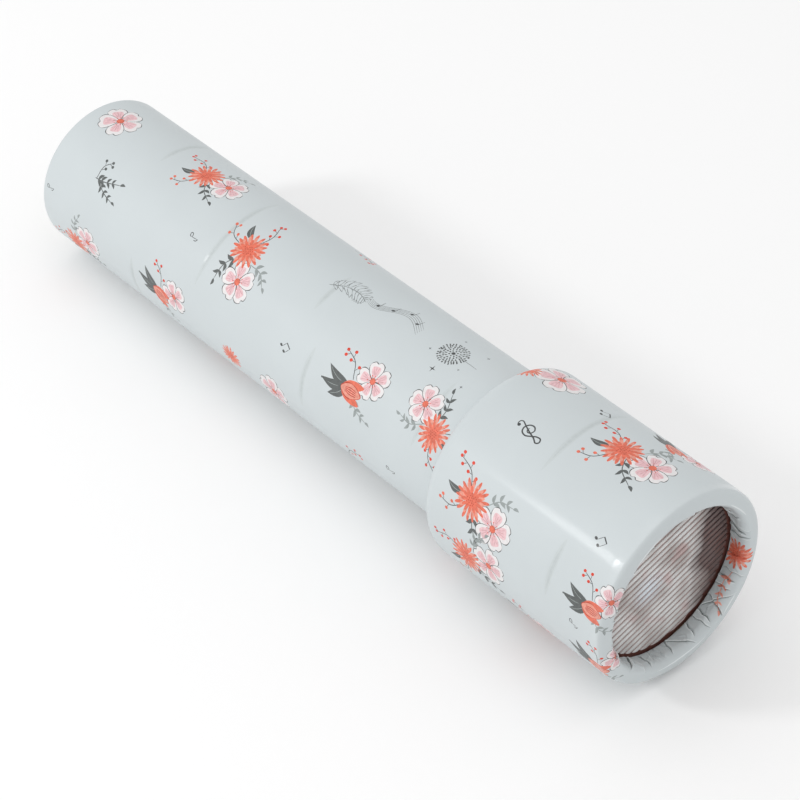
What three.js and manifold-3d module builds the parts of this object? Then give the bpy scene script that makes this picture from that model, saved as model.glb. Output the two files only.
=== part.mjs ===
// A card kaleidoscope lying on its side, in millimetres, +Z up.
// The long axis runs along X, with the turning cap and its bead chamber at the +X end.
// The origin is under the middle of the object, level with the lowest line of the cap.

import * as THREE from 'three';
import { mergeVertices } from 'three/addons/utils/BufferGeometryUtils.js';
import Module from 'manifold-3d';

// ---------- driving dimensions ----------

const LENGTH = 211; // eye end to the front of the cap
const CAP_RADIUS = 25;
const CAP_LENGTH = 58.5;
const TUBE_RADIUS = 20.35;
const PAPER = 0.35; // printed cover paper
const GAP = 0.3; // between pieces that touch
const CARD = 1.65; // wall of the card tube
const CAP_CARD = 1.8; // wall of the cap's card shell
const SIDES = 40; // facets round the large rings, one of them flat on the floor
const INNER_SIDES = 32; // facets round the small rings inside

// Rounded rims of the cap: quarter-ellipses seen in section.
const FRONT_RIM_CREST = 21.7; // radius where the front rim reaches furthest forward
const FRONT_RIM_DEPTH = 1.45; // how far its outer side rounds back
const LIP_RADIUS = 20.3; // narrowest place inside the front rim
const LIP_DEPTH = 2.4; // front of the rim to its lip
const RECESS_RADIUS = 20.9; // inside of the rim where it meets the ribbed window
const WINDOW_RECESS = 5.9; // front of the rim to the front of the ribbed window
const REAR_RIM_DEPTH = 3.8;
const RUNNING_CLEARANCE = 0.35; // between the cap's bore and the tube
const REAR_STEP = 1; // land of the rear lip before the shell opens to its full bore
const REAR_TAPER = 1.5; // length over which it opens
const END_PLAY = 1.8; // between the chamber and the front of the tube
const COLLAR_LENGTH = 5; // of the collar that keeps the cap on the tube

// Eye end.
const PEEPHOLE_RADIUS = 5;
const EYEPIECE_RADIUS = 12;
const EYE_DISC_SINK = 0.9; // tube's end to the face of the eye disc
const EYE_DISC_THICK = 1.5;
const EYE_WASHER_BORE = 7.5;
const EYE_WASHER_THICK = 1.5;
const TURN_IN = 0.6; // width of the cover's turned-in edge inside the tube's bore

// Mirrors and the front of the tube.
const MIRROR_INSET = 8.3; // axis to each mirror's face
const MIRROR_THICK = 1.5;
const MIRROR_CORNER = 0.2; // each strip stops this far short of the corner
const BAND_WIDTH = 9;
const BAND_THICK = 0.35;
const PACKING_EASE = 0.1;
const FRONT_WASHER_BORE = 14.5;
const FRONT_WASHER_THICK = 1.2;
const FRONT_RING_BORE = 16.4;
const FRONT_RING_LENGTH = 3;

// Bead chamber.
const DISC_THICK = 1.0; // clear plastic discs
const CHAMBER_DEPTH = 7;
const CHAMBER_WALL = 1.4;
const BACK_RING_BORE = 19.6;
const BACK_RING_THICK = 2;
const RIB_PITCH = 1.7; // ribs of the front window
const RIB_HEIGHT = 0.5;
const RIB_SLOPE = 0.3; // part of the pitch that each sloping side takes
const RIB_ANGLE = 19; // degrees from level, seen from the front

// Beads.
const BEAD_PITCH = 6.4;
const BEAD_RADIUS = 2.7;
const BEAD_STRAY = 0.3;
const BEAD_CLEARANCE = 0.5; // between the heap and the chamber's wall
const STAR_HALF_THICK = 0.9;
const BEAD_LEVEL = 7; // centres of the heap's top row lie below this height over the axis

const AXIS_HEIGHT = CAP_RADIUS * Math.cos(Math.PI / SIDES);
const EYE_END = -LENGTH / 2;
const CAP_FRONT = LENGTH / 2;
const CAP_REAR = CAP_FRONT - CAP_LENGTH;

// Faces of the chamber's pieces, from the front backwards.
const windowFront = CAP_FRONT - WINDOW_RECESS;
const windowBack = windowFront - DISC_THICK;
const spacerFront = windowBack - GAP;
const innerWindowFront = spacerFront - CHAMBER_DEPTH;
const innerWindowBack = innerWindowFront - DISC_THICK;
const backRingFront = innerWindowBack - GAP;
const backRingBack = backRingFront - BACK_RING_THICK;
const tubeFront = backRingBack - END_PLAY;

// Radii inside the cap.
const capBore = CAP_RADIUS - PAPER - GAP - CAP_CARD;
const insideCap = capBore - GAP; // largest radius of what is glued in the cap

// ---------- materials ----------

const COLOURS = {
  printedPaper: ['#d3dbdd', 0.45, 0],
  card: ['#b59b78', 0.9, 0],
  whiteCard: ['#dcdcd8', 0.85, 0],
  darkCard: ['#4a3b38', 0.9, 0],
  clearPlastic: ['#dfe9ee', 0.1, 0],
  frostedPlastic: ['#c9cdd0', 0.35, 0],
  mirror: ['#e8ecef', 0.05, 1],
  foam: ['#8d8f92', 0.95, 0],
  tape: ['#d9c99a', 0.5, 0],
};
const BEAD_COLOURS = ['#f3f4f6', '#a9c8ec', '#f0b7c6', '#7fa6dd', '#f4f1e8', '#e2859c'];

function material([colour, roughness, metalness]) {
  return new THREE.MeshStandardMaterial({ color: colour, roughness, metalness });
}

// ---------- shape helpers ----------

const kaleidoscope = new THREE.Group();
kaleidoscope.position.z = AXIS_HEIGHT;

function addPiece(parent, name, geometry, look) {
  const mesh = new THREE.Mesh(geometry, material(look));
  mesh.name = name;
  parent.add(mesh);
  return mesh;
}

// Turns a closed section, given as [radius, x] pairs, about the X axis.
function turned(section, sides) {
  const points = section.map(([radius, x]) => new THREE.Vector2(radius, x));
  if (THREE.ShapeUtils.isClockWise(points)) {
    points.reverse();
  }
  points.push(points[0].clone());
  const geometry = new THREE.LatheGeometry(points, sides, Math.PI / sides);
  return geometry.rotateZ(-Math.PI / 2);
}

function ring(innerRadius, outerRadius, x0, x1, sides) {
  const section = [
    [innerRadius, x0],
    [outerRadius, x0],
    [outerRadius, x1],
    [innerRadius, x1],
  ];
  return turned(section, sides);
}

function disc(radius, x0, x1, sides) {
  const section = [[0, x0], [radius, x0], [radius, x1], [0, x1]];
  const points = section.map(([r, x]) => new THREE.Vector2(r, x));
  const geometry = new THREE.LatheGeometry(points, sides, Math.PI / sides);
  return geometry.rotateZ(-Math.PI / 2);
}

// Extrudes a shape drawn in (y, z) along X, from x0 to x1.
function alongX(shape, x0, x1, curveSegments) {
  const settings = { depth: x1 - x0, bevelEnabled: false, curveSegments };
  const geometry = new THREE.ExtrudeGeometry(shape, settings);
  const turn = new THREE.Matrix4().makeBasis(
    new THREE.Vector3(0, 1, 0),
    new THREE.Vector3(0, 0, 1),
    new THREE.Vector3(1, 0, 0),
  );
  geometry.applyMatrix4(turn);
  return geometry.translate(x0, 0, 0);
}

function polygon(points) {
  return new THREE.Shape(points.map(([y, z]) => new THREE.Vector2(y, z)));
}

// Points on a quarter of an ellipse, as [radius, x], from angle a0 to a1 in degrees.
function quarter(centreRadius, centreX, reachRadius, reachX, a0, a1, steps) {
  const points = [];
  for (let i = 0; i <= steps; i += 1) {
    const angle = THREE.MathUtils.degToRad(a0 + ((a1 - a0) * i) / steps);
    const radius = centreRadius + reachRadius * Math.cos(angle);
    points.push([radius, centreX + reachX * Math.sin(angle)]);
  }
  return points;
}

// ---------- booleans ----------

const wasm = await Module();
wasm.setup();

function solidOf(geometry) {
  const bare = geometry.clone();
  bare.deleteAttribute('normal');
  bare.deleteAttribute('uv');
  const merged = mergeVertices(bare, 1e-4);
  return new wasm.Manifold(
    new wasm.Mesh({
      numProp: 3,
      vertProperties: new Float32Array(merged.attributes.position.array),
      triVerts: new Uint32Array(merged.index.array),
    }),
  );
}

function geometryOf(solid) {
  const mesh = solid.getMesh();
  const geometry = new THREE.BufferGeometry();
  geometry.setAttribute('position', new THREE.BufferAttribute(mesh.vertProperties, 3));
  geometry.setIndex(new THREE.BufferAttribute(mesh.triVerts, 1));
  geometry.computeVertexNormals();
  return geometry;
}

// ---------- tube ----------

const tube = new THREE.Group();
kaleidoscope.add(tube);

const coreOuter = TUBE_RADIUS - PAPER - GAP;
const coreInner = coreOuter - CARD;
const insideRadius = coreInner - GAP; // largest radius of what is glued in the tube
const collarBack = tubeFront - COLLAR_LENGTH;

function buildTube() {
  const turnIn = insideRadius - TURN_IN;
  const coverSection = [
    [TUBE_RADIUS, EYE_END],
    [TUBE_RADIUS, tubeFront],
    [TUBE_RADIUS - PAPER, tubeFront],
    [TUBE_RADIUS - PAPER, EYE_END + PAPER],
    [turnIn, EYE_END + PAPER],
    [turnIn, EYE_END],
  ];
  addPiece(tube, 'tube_paper_cover', turned(coverSection, SIDES), COLOURS.printedPaper);
  const coreEnd = EYE_END + PAPER + GAP;
  addPiece(tube, 'tube_card_core', ring(coreInner, coreOuter, coreEnd, tubeFront, SIDES), COLOURS.card);
  const collarRadius = capBore - RUNNING_CLEARANCE;
  const collar = ring(TUBE_RADIUS + GAP, collarRadius, collarBack, tubeFront, SIDES);
  addPiece(tube, 'tube_front_collar', collar, COLOURS.whiteCard);
}

// ---------- eye end ----------

const eyeDiscFace = EYE_END + EYE_DISC_SINK;
const eyeDiscBack = eyeDiscFace + EYE_DISC_THICK;
const eyepieceBack = eyeDiscBack + GAP + DISC_THICK;
const eyeWasherBack = eyepieceBack + GAP + EYE_WASHER_THICK;

function buildEyeEnd() {
  const eyeDisc = ring(PEEPHOLE_RADIUS, insideRadius, eyeDiscFace, eyeDiscBack, INNER_SIDES);
  addPiece(tube, 'eye_end_disc', eyeDisc, COLOURS.whiteCard);
  const eyepiece = disc(EYEPIECE_RADIUS, eyeDiscBack + GAP, eyepieceBack, INNER_SIDES);
  addPiece(tube, 'eyepiece_window', eyepiece, COLOURS.clearPlastic);
  const washer = ring(EYE_WASHER_BORE, insideRadius, eyepieceBack + GAP, eyeWasherBack, INNER_SIDES);
  addPiece(tube, 'eyepiece_washer', washer, COLOURS.card);
}

// ---------- front of the tube ----------

const frontRingBack = tubeFront - FRONT_RING_LENGTH;
const tubeWindowFront = frontRingBack - GAP;
const tubeWindowBack = tubeWindowFront - DISC_THICK;
const frontWasherFront = tubeWindowBack - GAP;
const frontWasherBack = frontWasherFront - FRONT_WASHER_THICK;

function buildTubeFront() {
  const washer = ring(FRONT_WASHER_BORE, insideRadius, frontWasherBack, frontWasherFront, INNER_SIDES);
  addPiece(tube, 'mirror_front_washer', washer, COLOURS.card);
  const window = disc(insideRadius, tubeWindowBack, tubeWindowFront, INNER_SIDES);
  addPiece(tube, 'tube_front_window', window, COLOURS.clearPlastic);
  const holder = ring(FRONT_RING_BORE, insideRadius, frontRingBack, tubeFront, INNER_SIDES);
  addPiece(tube, 'tube_front_ring', holder, COLOURS.card);
}

// ---------- mirrors ----------

const mirrorBack = eyeWasherBack + GAP;
const mirrorFront = frontWasherBack - GAP;

function buildMirrors() {
  const halfWidth = MIRROR_INSET * Math.sqrt(3) - MIRROR_CORNER;
  const packing = new THREE.Shape();
  const chordHeight = MIRROR_INSET + MIRROR_THICK + GAP;
  const packingRadius = insideRadius - PACKING_EASE;
  const halfAngle = Math.acos(chordHeight / packingRadius);
  packing.absarc(0, 0, packingRadius, Math.PI / 2 - halfAngle, Math.PI / 2 + halfAngle, false);
  packing.closePath();

  const places = ['bottom', 'left', 'right'];
  places.forEach((place, i) => {
    const third = new THREE.Group();
    third.rotation.x = Math.PI + (i * 2 * Math.PI) / 3;
    tube.add(third);
    const outline = polygon([
      [-halfWidth, MIRROR_INSET],
      [halfWidth, MIRROR_INSET],
      [halfWidth, MIRROR_INSET + MIRROR_THICK],
      [-halfWidth, MIRROR_INSET + MIRROR_THICK],
    ]);
    const mirror = alongX(outline, mirrorBack, mirrorFront, 1);
    addPiece(third, `mirror_strip_${place}`, mirror, COLOURS.mirror);
    const clearOfBand = BAND_WIDTH + 2 * GAP;
    const wedge = alongX(packing, mirrorBack + clearOfBand, mirrorFront - clearOfBand, 9);
    addPiece(third, `packing_wedge_${place}`, wedge, COLOURS.foam);
  });

  // Each band is a hexagon round the outer corners of the three strips.
  const hexagon = (clear) => {
    const points = [];
    for (let i = 0; i < 3; i += 1) {
      const middle = Math.PI * 1.5 + (i * 2 * Math.PI) / 3;
      const outward = MIRROR_INSET + MIRROR_THICK + clear;
      const along = halfWidth + clear * Math.tan(Math.PI / 6);
      for (const side of [-1, 1]) {
        const y = outward * Math.cos(middle) - side * along * Math.sin(middle);
        const z = outward * Math.sin(middle) + side * along * Math.cos(middle);
        points.push([y, z]);
      }
    }
    return points;
  };
  const band = polygon(hexagon(GAP + BAND_THICK));
  band.holes.push(polygon(hexagon(GAP)));
  const starts = { rear: mirrorBack + GAP, front: mirrorFront - GAP - BAND_WIDTH };
  for (const [place, x0] of Object.entries(starts)) {
    addPiece(tube, `mirror_band_${place}`, alongX(band, x0, x0 + BAND_WIDTH, 1), COLOURS.tape);
  }
}

// ---------- cap ----------

const cap = new THREE.Group();
kaleidoscope.add(cap);

const rearLip = TUBE_RADIUS + RUNNING_CLEARANCE;
const curlBack = windowFront + GAP;

// The cap's outside in section, from inside the front rim round to the rear lip,
// taken inward by a depth below the surface.
function capOutside(depth) {
  const frontOuter = CAP_RADIUS - FRONT_RIM_CREST;
  const frontInner = FRONT_RIM_CREST - LIP_RADIUS;
  const outerX = CAP_FRONT - FRONT_RIM_DEPTH;
  const lipX = CAP_FRONT - LIP_DEPTH;
  const rearX = CAP_REAR + REAR_RIM_DEPTH;
  const rearReach = CAP_RADIUS - rearLip;
  return [
    [RECESS_RADIUS + depth, curlBack],
    ...quarter(FRONT_RIM_CREST, lipX, frontInner - depth, LIP_DEPTH - depth, 180, 90, 5),
    ...quarter(FRONT_RIM_CREST, outerX, frontOuter - depth, FRONT_RIM_DEPTH - depth, 90, 0, 6).slice(1),
    ...quarter(rearLip, rearX, rearReach - depth, REAR_RIM_DEPTH - depth, 0, -90, 6),
  ];
}

function buildCap() {
  const coverSection = [...capOutside(0), ...capOutside(PAPER).reverse()];
  addPiece(cap, 'cap_paper_cover', turned(coverSection, SIDES), COLOURS.printedPaper);

  const rearStep = CAP_REAR + REAR_RIM_DEPTH + REAR_STEP;
  const boreStart = rearStep + REAR_TAPER;
  const shellSection = [
    ...capOutside(PAPER + GAP),
    [rearLip, rearStep],
    [capBore, boreStart],
    [capBore, curlBack],
  ];
  addPiece(cap, 'cap_card_shell', turned(shellSection, SIDES), COLOURS.card);

  const sleeve = ring(rearLip, insideCap, boreStart + GAP, collarBack - GAP, SIDES);
  addPiece(cap, 'cap_running_sleeve', sleeve, COLOURS.whiteCard);
}

// ---------- bead chamber ----------

// The front window is a plate with rounded-off ribs along one direction, cut to a disc.
function ribbedWindow() {
  const half = insideCap + RIB_PITCH;
  const count = Math.ceil(half / RIB_PITCH);
  const outline = [];
  for (let i = -count; i < count; i += 1) {
    const y = i * RIB_PITCH;
    outline.push([y, windowFront - RIB_HEIGHT]);
    outline.push([y + RIB_SLOPE * RIB_PITCH, windowFront]);
    outline.push([y + (1 - RIB_SLOPE) * RIB_PITCH, windowFront]);
  }
  outline.push([count * RIB_PITCH, windowFront - RIB_HEIGHT]);
  outline.push([count * RIB_PITCH, windowBack]);
  outline.push([-count * RIB_PITCH, windowBack]);
  const settings = { depth: 2 * half, bevelEnabled: false };
  const plate = new THREE.ExtrudeGeometry(polygon(outline), settings);
  plate.translate(0, 0, -half);
  const turn = new THREE.Matrix4().makeBasis(
    new THREE.Vector3(0, 1, 0),
    new THREE.Vector3(1, 0, 0),
    new THREE.Vector3(0, 0, -1),
  );
  plate.applyMatrix4(turn);
  plate.rotateX(THREE.MathUtils.degToRad(90 + RIB_ANGLE));
  const round = disc(insideCap, windowBack - 1, windowFront + 1, SIDES);
  return geometryOf(solidOf(plate).intersect(solidOf(round)));
}

function buildChamber() {
  addPiece(cap, 'ribbed_front_window', ribbedWindow(), COLOURS.frostedPlastic);
  const wall = ring(insideCap - CHAMBER_WALL, insideCap, innerWindowFront + GAP, spacerFront, SIDES);
  addPiece(cap, 'chamber_spacer_ring', wall, COLOURS.darkCard);
  const window = disc(insideCap, innerWindowBack, innerWindowFront, INNER_SIDES);
  addPiece(cap, 'chamber_inner_window', window, COLOURS.clearPlastic);
  const backRing = ring(BACK_RING_BORE, insideCap, backRingBack, backRingFront, INNER_SIDES);
  addPiece(cap, 'chamber_back_ring', backRing, COLOURS.card);
}

// ---------- beads ----------

function starShape(radius) {
  const points = [];
  for (let i = 0; i < 10; i += 1) {
    const reach = i % 2 === 0 ? radius : radius * 0.5;
    const angle = (i * Math.PI) / 5;
    points.push([reach * Math.cos(angle), reach * Math.sin(angle)]);
  }
  return polygon(points);
}

const BEAD_SHAPES = {
  ball: () => new THREE.SphereGeometry(BEAD_RADIUS, 12, 8),
  gem: () => new THREE.IcosahedronGeometry(BEAD_RADIUS, 0),
  barrel: () => new THREE.CylinderGeometry(BEAD_RADIUS * 0.72, BEAD_RADIUS * 0.72, BEAD_RADIUS * 1.3, 12),
  star: () => alongX(starShape(BEAD_RADIUS), -STAR_HALF_THICK, STAR_HALF_THICK, 1),
};

// The heap lies in rows of a triangular grid, each bead a little out of line.
function buildBeads() {
  const beads = new THREE.Group();
  kaleidoscope.add(beads);
  const kinds = Object.keys(BEAD_SHAPES);
  const reach = insideCap - CHAMBER_WALL - BEAD_RADIUS - BEAD_CLEARANCE;
  const rowHeight = (BEAD_PITCH * Math.sqrt(3)) / 2;
  const middleX = (innerWindowFront + GAP + spacerFront) / 2;
  let count = 0;
  for (let row = 0; row < 6; row += 1) {
    const z = -reach + BEAD_STRAY + row * rowHeight;
    if (z > BEAD_LEVEL) {
      break;
    }
    const halfSpan = Math.sqrt(reach * reach - z * z) - BEAD_STRAY;
    const inRow = Math.floor((2 * halfSpan) / BEAD_PITCH) + 1;
    for (let i = 0; i < inRow; i += 1) {
      const y = (i - (inRow - 1) / 2) * BEAD_PITCH;
      const kind = kinds[(count * 3 + row) % kinds.length];
      const colour = BEAD_COLOURS[(count * 5) % BEAD_COLOURS.length];
      count += 1;
      const label = String(count).padStart(2, '0');
      const bead = addPiece(beads, `bead_${kind}_${label}`, BEAD_SHAPES[kind](), [colour, 0.15, 0]);
      const stray = new THREE.Vector3(Math.sin(count * 2.4), Math.sin(count * 1.7), Math.cos(count * 2.9));
      bead.position.set(middleX, y, z).addScaledVector(stray, BEAD_STRAY);
      bead.rotation.set(count * 1.1, 0, 0);
    }
  }
}

buildTube();
buildEyeEnd();
buildTubeFront();
buildMirrors();
buildCap();
buildChamber();
buildBeads();

export default kaleidoscope;
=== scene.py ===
"""A card kaleidoscope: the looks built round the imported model.

All drawing is in millimetres. The printed paper is drawn on a flat sheet, where u runs along the
kaleidoscope and v runs round it from the top line towards the near side, and is then wrapped round
the turned shape. u is 0 at the front of the cap, negative towards the eye end, and positive where
the paper turns in over the cap's front rim.
"""

import math
import random

import bmesh
import bpy
import numpy as np
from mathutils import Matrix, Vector
from mathutils.geometry import delaunay_2d_cdt


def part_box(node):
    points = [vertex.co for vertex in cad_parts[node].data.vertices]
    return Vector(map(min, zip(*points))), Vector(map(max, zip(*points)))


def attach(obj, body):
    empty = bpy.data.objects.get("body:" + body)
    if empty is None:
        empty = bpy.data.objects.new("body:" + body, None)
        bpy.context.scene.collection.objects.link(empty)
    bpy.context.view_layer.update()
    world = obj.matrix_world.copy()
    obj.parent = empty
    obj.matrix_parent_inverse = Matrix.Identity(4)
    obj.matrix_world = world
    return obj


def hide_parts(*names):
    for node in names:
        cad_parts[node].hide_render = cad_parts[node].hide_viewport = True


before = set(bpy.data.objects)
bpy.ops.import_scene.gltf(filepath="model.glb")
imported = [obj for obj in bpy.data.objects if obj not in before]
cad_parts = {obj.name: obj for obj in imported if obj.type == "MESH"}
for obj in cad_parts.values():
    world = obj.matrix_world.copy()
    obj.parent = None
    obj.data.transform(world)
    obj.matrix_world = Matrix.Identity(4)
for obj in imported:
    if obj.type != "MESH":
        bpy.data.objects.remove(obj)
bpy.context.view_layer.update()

MM = 0.001

# ---------- sizes, from the frame ----------

CAP_LOW, CAP_HIGH = [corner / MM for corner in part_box("cap_paper_cover")]
TUBE_LOW, TUBE_HIGH = [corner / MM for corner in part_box("tube_paper_cover")]
WINDOW_LOW, WINDOW_HIGH = [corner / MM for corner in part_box("ribbed_front_window")]

AXIS_Z = (CAP_LOW.z + CAP_HIGH.z) / 2
CAP_R = (CAP_HIGH.z - CAP_LOW.z) / 2
TUBE_R = (TUBE_HIGH.z - TUBE_LOW.z) / 2
CAP_FRONT = CAP_HIGH.x
CAP_REAR = CAP_LOW.x
EYE_END = TUBE_LOW.x
PAPER = 0.3  # thickness of the wrapped paper
LIP_RADIUS = 20.3  # of the cap's front rim, at its narrowest
REAR_RIM_DEPTH = 3.8
TUBE_BORE = 17.15  # radius inside the turned-in paper of the eye end
EYE_HOLE = 5.0
SPACER_WALL = 1.4
SPACER_BORE = (WINDOW_HIGH.z - WINDOW_LOW.z) / 2 - SPACER_WALL
COLUMNS, FINE_COLUMNS = 144, 720  # of the wrapped papers, and where the rim is pleated
PLEAT_WAVE = 0.006


# ---------- camera ----------

VIEW_AZIMUTH = math.radians(49.15)
VIEW_ELEVATION = math.radians(39.44)
VIEW_FROM_CAP_FRONT = Vector((295.7, -336.9, 418.8))


def add_camera():
    back = Vector((
        math.sin(VIEW_AZIMUTH) * math.cos(VIEW_ELEVATION),
        -math.cos(VIEW_AZIMUTH) * math.cos(VIEW_ELEVATION),
        math.sin(VIEW_ELEVATION),
    ))
    data = bpy.data.cameras.new("camera")
    data.lens = 126
    data.sensor_width = 36
    data.clip_start = 0.01
    camera = linked("camera", data)
    camera.location = (Vector((CAP_FRONT, 0, AXIS_Z)) + VIEW_FROM_CAP_FRONT) * MM
    camera.rotation_euler = back.to_track_quat("Z", "Y").to_euler()
    bpy.context.scene.camera = camera


# ---------- colours ----------

def linear(value):
    return value / 12.92 if value <= 0.04045 else ((value + 0.055) / 1.055) ** 2.4


def rgb(red, green, blue):
    """A colour given as 0-255 display values."""
    return tuple(linear(c / 255) for c in (red, green, blue))


def printed(red, green, blue, unevenness):
    """An ink: its colour on the paper, and how uneven it lies, from 0 for plain paper to 1."""
    return (*[PRINT_TONE * c for c in rgb(red, green, blue)], unevenness)


PRINT_TONE = 0.95
INKS = {
    "ground": printed(203, 210, 212, 0.0),
    # Painted shade, with a little scuffing, along the dents.
    "dent_shade_and_scuff": printed(199, 206, 207, 0.1),
    "dent_shade_and_scuff_deep": printed(193, 200, 201, 0.2),
    "coral": printed(224, 112, 88, 0.9),
    "coral_dark": printed(186, 58, 38, 0.5),
    "coral_light": printed(229, 152, 134, 0.8),
    "accent": printed(216, 62, 36, 0.8),
    "petal": printed(230, 227, 227, 0.2),
    "pink": printed(230, 192, 196, 0.6),
    "pink_dark": printed(206, 150, 156, 0.5),
    "grey": printed(92, 96, 95, 0.7),
    "grey_light": printed(150, 157, 156, 0.5),
    "line": printed(70, 72, 72, 0.5),
    # Painted shade in the pleats' creases, and painted highlight beside them and along the rim's
    # crest.
    "crease_shade": printed(146, 152, 151, 0.3),
    "crease_highlight": printed(226, 231, 232, 0.1),
    "line_soft": printed(112, 116, 116, 0.5),
}


# ---------- drawing on the flat sheet ----------

class Sheet:
    """Flat printed paper: shapes in paint order, each a closed outline and an ink."""

    def __init__(self, radius):
        self.radius = radius
        self.shapes = []

    def pen(self, u, degrees, turn=0.0, size=1.0):
        v = math.radians(degrees) * self.radius
        return Pen(self, np.array((u, -v)), size * turned(turn))


class Pen:
    """Draws with x to the right and y up, as seen from outside with the cap to the right."""

    def __init__(self, sheet, origin, axes):
        self.sheet, self.origin, self.axes = sheet, origin, axes

    def moved(self, x, y, turn=0.0, size=1.0):
        """A pen for one part of a motif, placed in this pen's own frame."""
        origin = np.array((x, y)) @ self.axes + self.origin
        return Pen(self.sheet, origin, size * turned(turn) @ self.axes)

    def fill(self, points, ink):
        placed = np.asarray(points, float) @ self.axes + self.origin
        placed[:, 1] *= -1
        self.sheet.shapes.append((placed, ink))

    def stroke(self, points, width, ink, taper=(0.5, 0.5)):
        """A brush line: full width in the middle, thinner towards its ends."""
        points = np.asarray(points, float)
        steps = len(points)
        along = np.gradient(points, axis=0)
        along /= np.maximum(np.linalg.norm(along, axis=1), 1e-9)[:, None]
        across = np.stack((-along[:, 1], along[:, 0]), axis=1)
        t = np.linspace(0, 1, steps)
        start = taper[0] + (1 - taper[0]) * np.clip(t / 0.25, 0, 1) ** 0.7
        end = taper[1] + (1 - taper[1]) * np.clip((1 - t) / 0.25, 0, 1) ** 0.7
        half = (0.5 * width * np.minimum(start, end))[:, None]
        left = points + across * half
        right = points - across * half
        for i in range(steps - 1):
            self.fill((left[i], left[i + 1], right[i + 1], right[i]), ink)

    def outlined(self, points, ink, line="line", width=0.2):
        """A filled shape with a line round it, a little uneven as if drawn by hand."""
        points = np.asarray(points, float)
        after = np.roll(points, -1, axis=0)
        before = np.roll(points, 1, axis=0)
        along = after - before
        along /= np.maximum(np.linalg.norm(along, axis=1), 1e-9)[:, None]
        across = np.stack((along[:, 1], -along[:, 0]), axis=1)
        if outline_area(points) < 0:
            across = -across
        turns = np.linspace(0, 2 * math.pi, len(points), endpoint=False)
        uneven = 0.75 + 0.35 * np.sin(3 * turns + points[0, 0]) + 0.2 * np.sin(7 * turns)
        self.fill(points + across * (0.5 * width * uneven)[:, None], line)
        self.fill(points - across * (0.5 * width * uneven)[:, None], ink)


def outline_area(points):
    x, y = points[:, 0], points[:, 1]
    return 0.5 * np.sum(x * np.roll(y, -1) - y * np.roll(x, -1))


def spline(a, b, c, d, t):
    """A point between b and c on the smooth line through four points (Catmull-Rom)."""
    return 0.5 * (
        2 * b + (c - a) * t + (2 * a - 5 * b + 4 * c - d) * t ** 2
        + (3 * b - a - 3 * c + d) * t ** 3
    )


def curve(points, steps=6):
    """A smooth line through a few points."""
    p = np.asarray(points, float)
    p = np.vstack((2 * p[0] - p[1], p, 2 * p[-1] - p[-2]))
    line = [
        spline(*p[i - 1:i + 3], t)
        for i in range(1, len(p) - 2) for t in np.linspace(0, 1, steps, endpoint=False)
    ]
    return np.array(line + [p[-2]])


def closed_curve(points, steps=5):
    """A smooth closed outline through a few points."""
    p = np.asarray(points, float)
    p = np.vstack((p[-1], p, p[:2]))
    return np.array([
        spline(*p[i - 1:i + 3], t)
        for i in range(1, len(p) - 2) for t in np.linspace(0, 1, steps, endpoint=False)
    ])


def ellipse(x, y, rx, ry, turn=0.0, steps=20):
    t = np.linspace(0, 2 * math.pi, steps, endpoint=False)
    ex, ey = rx * np.cos(t), ry * np.sin(t)
    cos, sin = math.cos(math.radians(turn)), math.sin(math.radians(turn))
    return np.stack((x + ex * cos - ey * sin, y + ex * sin + ey * cos), axis=1)


def turned(degrees):
    """Points given as rows, multiplied by this, turn by so many degrees."""
    a = math.radians(degrees)
    return np.array(((math.cos(a), math.sin(a)), (-math.sin(a), math.cos(a))))


def heading(line, k):
    """The direction of a line at its point k, in degrees."""
    x, y = line[k] - line[k - 1]
    return math.degrees(math.atan2(y, x))


# ---------- motifs: a plain scatter of posies, sprigs and music notes ----------

def blossom(pen, radius=5.2, seed=0):
    """A pale open flower: five broad petals with a pink flush, and a ring of stamens."""
    rng = random.Random(seed)
    start = rng.uniform(0, 72)
    for i in (0, 2, 4, 1, 3):
        turn = turned(start + i * 72 + rng.uniform(-4, 4))
        long, wide = radius * rng.uniform(0.94, 1.04), radius * rng.uniform(0.38, 0.42)
        edge = closed_curve(np.array([
            (0.08 * long, 0), (0.42 * long, wide * 0.86), (0.8 * long, wide),
            (0.98 * long, wide * 0.4), (0.9 * long, 0), (0.98 * long, -wide * 0.4),
            (0.8 * long, -wide), (0.42 * long, -wide * 0.86),
        ]), 4)
        pen.outlined(edge @ turn, "petal", "line", 0.19)
        flush = closed_curve(np.array([
            (0.1 * long, 0), (0.4 * long, wide * 0.5), (0.7 * long, wide * 0.56), (0.76 * long, 0),
            (0.7 * long, -wide * 0.56), (0.4 * long, -wide * 0.5),
        ]), 4)
        pen.fill(flush @ turn, "pink")
        for bend in (-0.16, 0.0, 0.16):
            vein = np.array([(0.3, 0.2 * bend), (0.5, bend * 0.6), (0.68, bend)]) * radius
            pen.stroke(curve(vein @ turn, 3), 0.13, "pink_dark")
    pen.fill(ellipse(0, 0, 0.17 * radius, 0.17 * radius, steps=12), "coral")
    for i in range(10):
        a = math.radians(36 * i + rng.uniform(-8, 8))
        end = np.array((math.cos(a), math.sin(a))) * radius * rng.uniform(0.26, 0.34)
        pen.stroke([end * 0.4, end * 0.7, end], 0.12, "line")
        pen.fill(ellipse(*end, 0.15, 0.15, steps=6), "accent")


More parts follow.
